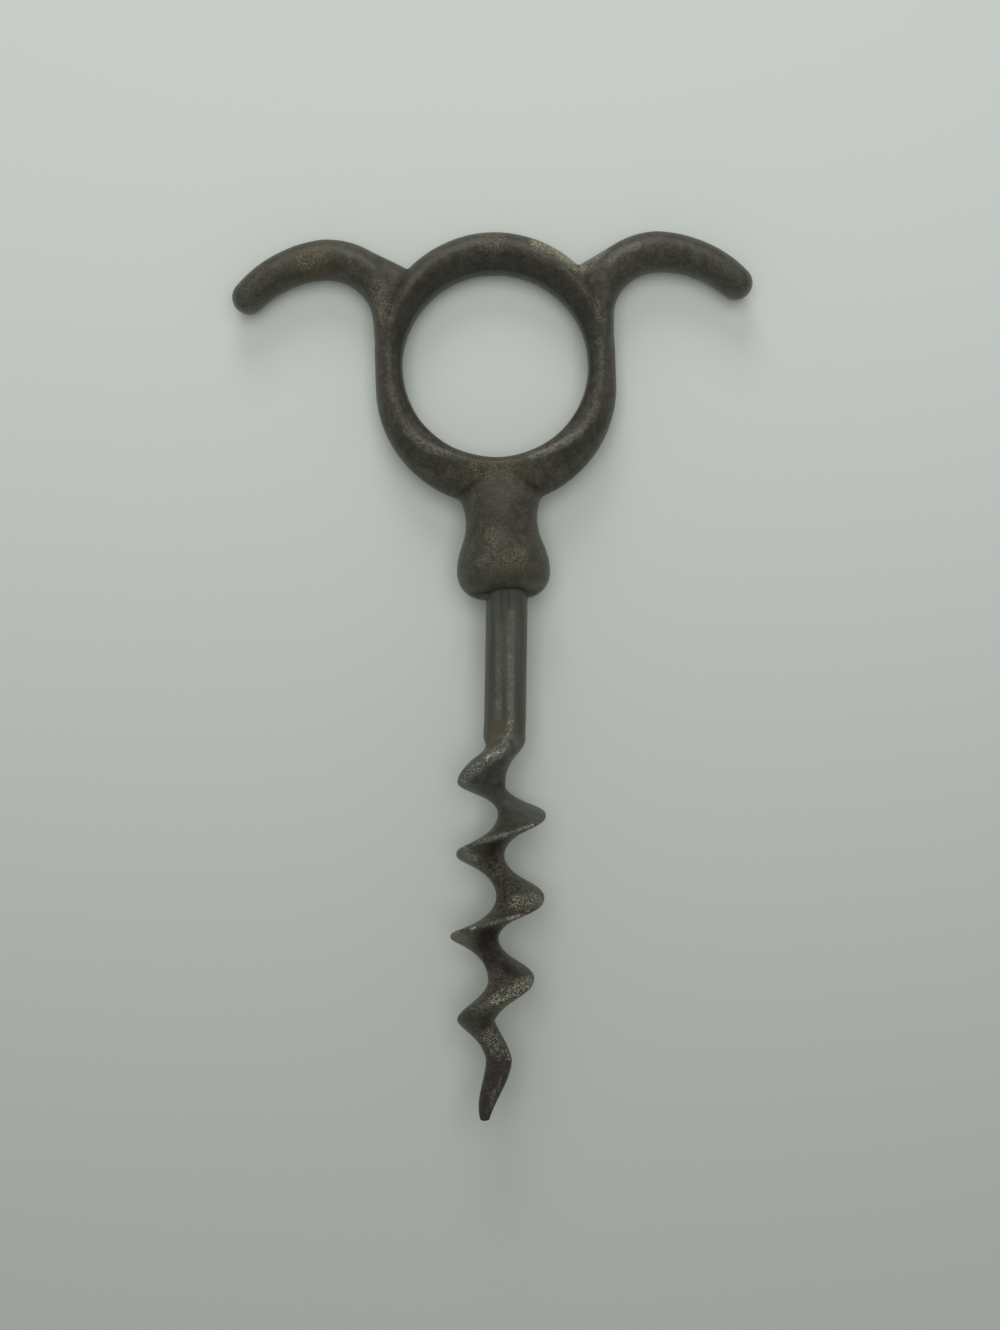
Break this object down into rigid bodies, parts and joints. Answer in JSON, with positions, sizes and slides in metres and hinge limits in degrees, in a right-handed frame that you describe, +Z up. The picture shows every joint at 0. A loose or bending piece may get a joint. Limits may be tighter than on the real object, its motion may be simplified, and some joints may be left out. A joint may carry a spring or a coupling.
{
  "type": "finger pull corkscrew",
  "caption": "Finger pull corkscrew: a cast iron handle with a finger ring, curved finger rests and a bell, holding a bladed steel worm on a round shank.",
  "frame": {"origin": "on the table that the corkscrew lies on, below the middle of its bounding box", "axes": "+Y from the worm's point towards the finger ring, +X across the finger rests, +Z up from the table"},
  "size_m": [0.0712, 0.1196, 0.0144],
  "materials": {
    "cast_iron": "dark brown patina, worn and lightly rusted",
    "worm_steel": "dull dark grey, worn bright on the blade's edge",
    "pin_steel": "dull dark grey, filed flush"
  },
  "bodies": {
    "root": {"handle": "cast_iron", "worm": "worm_steel", "cross_pin": "pin_steel"}
  },
  "joints": []
}
